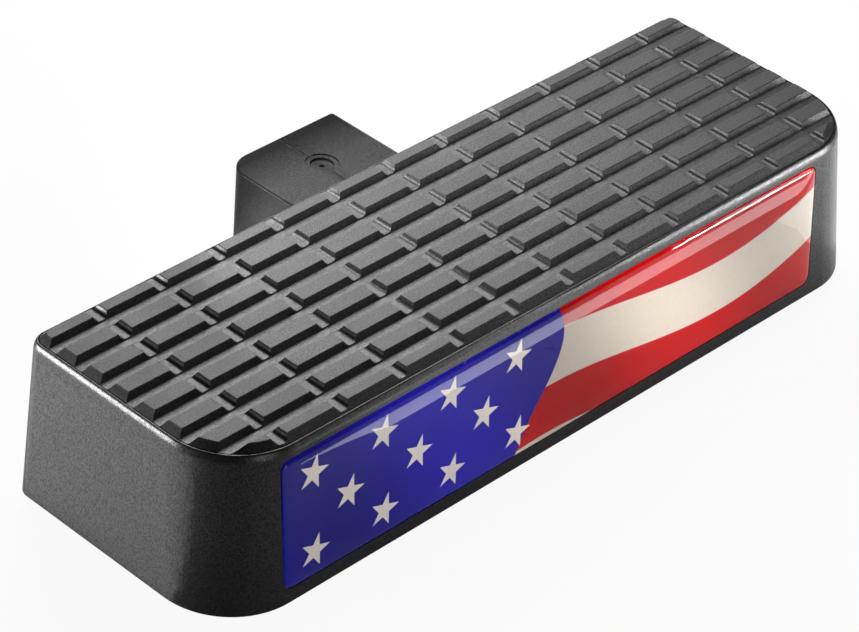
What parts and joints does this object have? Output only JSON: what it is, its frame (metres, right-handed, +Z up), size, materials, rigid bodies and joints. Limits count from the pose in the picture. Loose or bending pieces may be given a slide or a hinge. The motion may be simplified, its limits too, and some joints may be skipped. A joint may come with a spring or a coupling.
{
  "type": "hitch receiver step",
  "caption": "Moulded step for a square hitch receiver: flared body with a raised-block tread, a domed badge in front and a pinned shank behind.",
  "frame": {"origin": "centre of the hitch pin hole, on the shank's axis", "axes": "+X along the step's length and along the pin hole, +Y along the shank from the step's front towards the vehicle, +Z up out of the tread"},
  "size_m": [0.3102, 0.1421, 0.0646],
  "materials": {
    "body": "fine-grained black moulded plastic",
    "tread": "fine-grained dark grey non-slip pad",
    "print": "printed film in blue, cream and red",
    "lens": "clear polished dome"
  },
  "bodies": {
    "root": {"step_body": "body", "tread_pad": "tread", "label_film": "print", "label_dome": "lens"}
  },
  "joints": []
}
